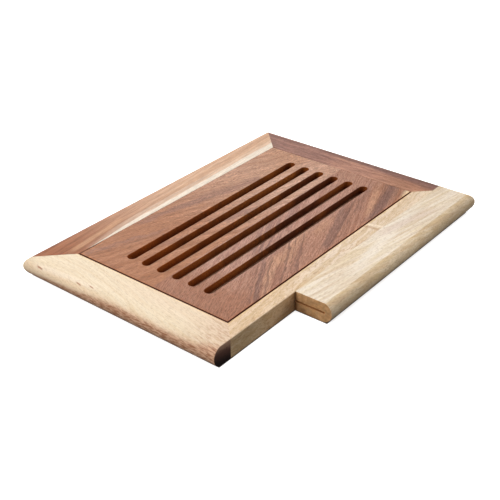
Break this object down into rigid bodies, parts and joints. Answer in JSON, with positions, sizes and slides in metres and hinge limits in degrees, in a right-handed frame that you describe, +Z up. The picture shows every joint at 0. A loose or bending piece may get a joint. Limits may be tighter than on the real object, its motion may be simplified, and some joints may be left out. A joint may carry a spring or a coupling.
{
  "type": "bread board",
  "caption": "Low rectangular wooden bread board: mitred frame around a lift-out slotted crumb grid, with a notched side block that has a thin knife slit.",
  "frame": {"origin": "middle of the underside of the whole board, knife block included", "axes": "+X along the long side to the right, +Y to the back, away from the knife block, +Z up"},
  "size_m": [0.475, 0.348, 0.025],
  "materials": {
    "sapwood_rail": "oiled acacia, cream sapwood with a brown lower edge",
    "pale_rail": "oiled acacia, cream to pinkish beige",
    "mixed_rail": "oiled acacia, reddish-brown heartwood with a sapwood strip inside",
    "heartwood_rail": "oiled acacia, dark purple-brown heartwood",
    "pale_block": "oiled acacia, whitish cream with long streaks",
    "grey_heartwood": "oiled acacia, pinkish grey-brown",
    "warm_heartwood": "oiled acacia, warm orange-brown",
    "floor_heartwood": "plain acacia",
    "beech": "plain beech"
  },
  "bodies": {
    "board": {"left_rail": "sapwood_rail", "back_rail": "mixed_rail", "right_rail": "heartwood_rail", "front_rail": "pale_rail", "knife_block": "pale_block", "back_left_tongue": "beech", "back_right_tongue": "beech", "front_left_tongue": "beech", "front_right_tongue": "beech", "block_dowel_1": "beech", "block_dowel_2": "beech", "block_dowel_3": "beech", "block_dowel_4": "beech", "floor_front_stave": "floor_heartwood", "floor_back_stave": "floor_heartwood"},
    "grid": {"grid_front_stave": "grey_heartwood", "grid_back_stave": "warm_heartwood"}
  },
  "joints": [
    {"name": "grid_lift", "type": "slide", "parent": "board", "child": "grid", "axis": [0, 0, 1], "range_m": [0, 0.06]}
  ]
}
